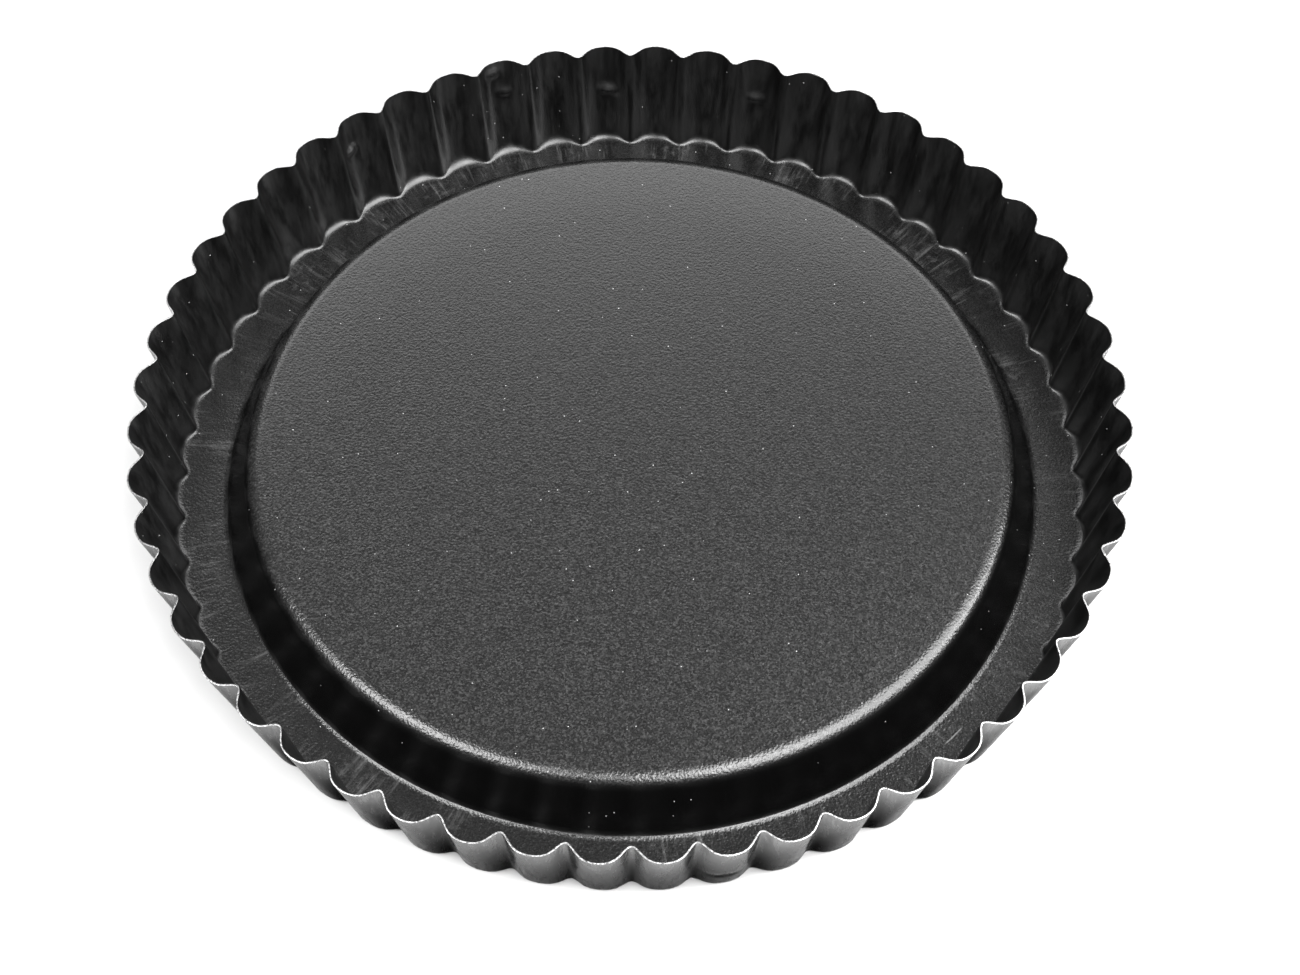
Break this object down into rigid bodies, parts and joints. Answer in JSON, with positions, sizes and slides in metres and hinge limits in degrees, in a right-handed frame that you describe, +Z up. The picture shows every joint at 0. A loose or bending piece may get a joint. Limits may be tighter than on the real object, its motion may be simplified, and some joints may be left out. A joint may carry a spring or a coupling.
{
  "type": "fluted tart pan",
  "caption": "Round fluted tart pan with a raised flat centre and a narrow channel around it, steel outside and black nonstick inside.",
  "frame": {"origin": "centre of the underside of the base, on the surface the pan stands on", "axes": "+Z up, out of the open top; +X through the crest of one outward flute, +Y through another"},
  "size_m": [0.28, 0.28, 0.034],
  "materials": {
    "steel": "satin bare sheet, plain cut edge",
    "nonstick": "matte black baked film with a fine speckle"
  },
  "bodies": {
    "root": {"steel_pan": "steel", "nonstick_lining": "nonstick"}
  },
  "joints": []
}
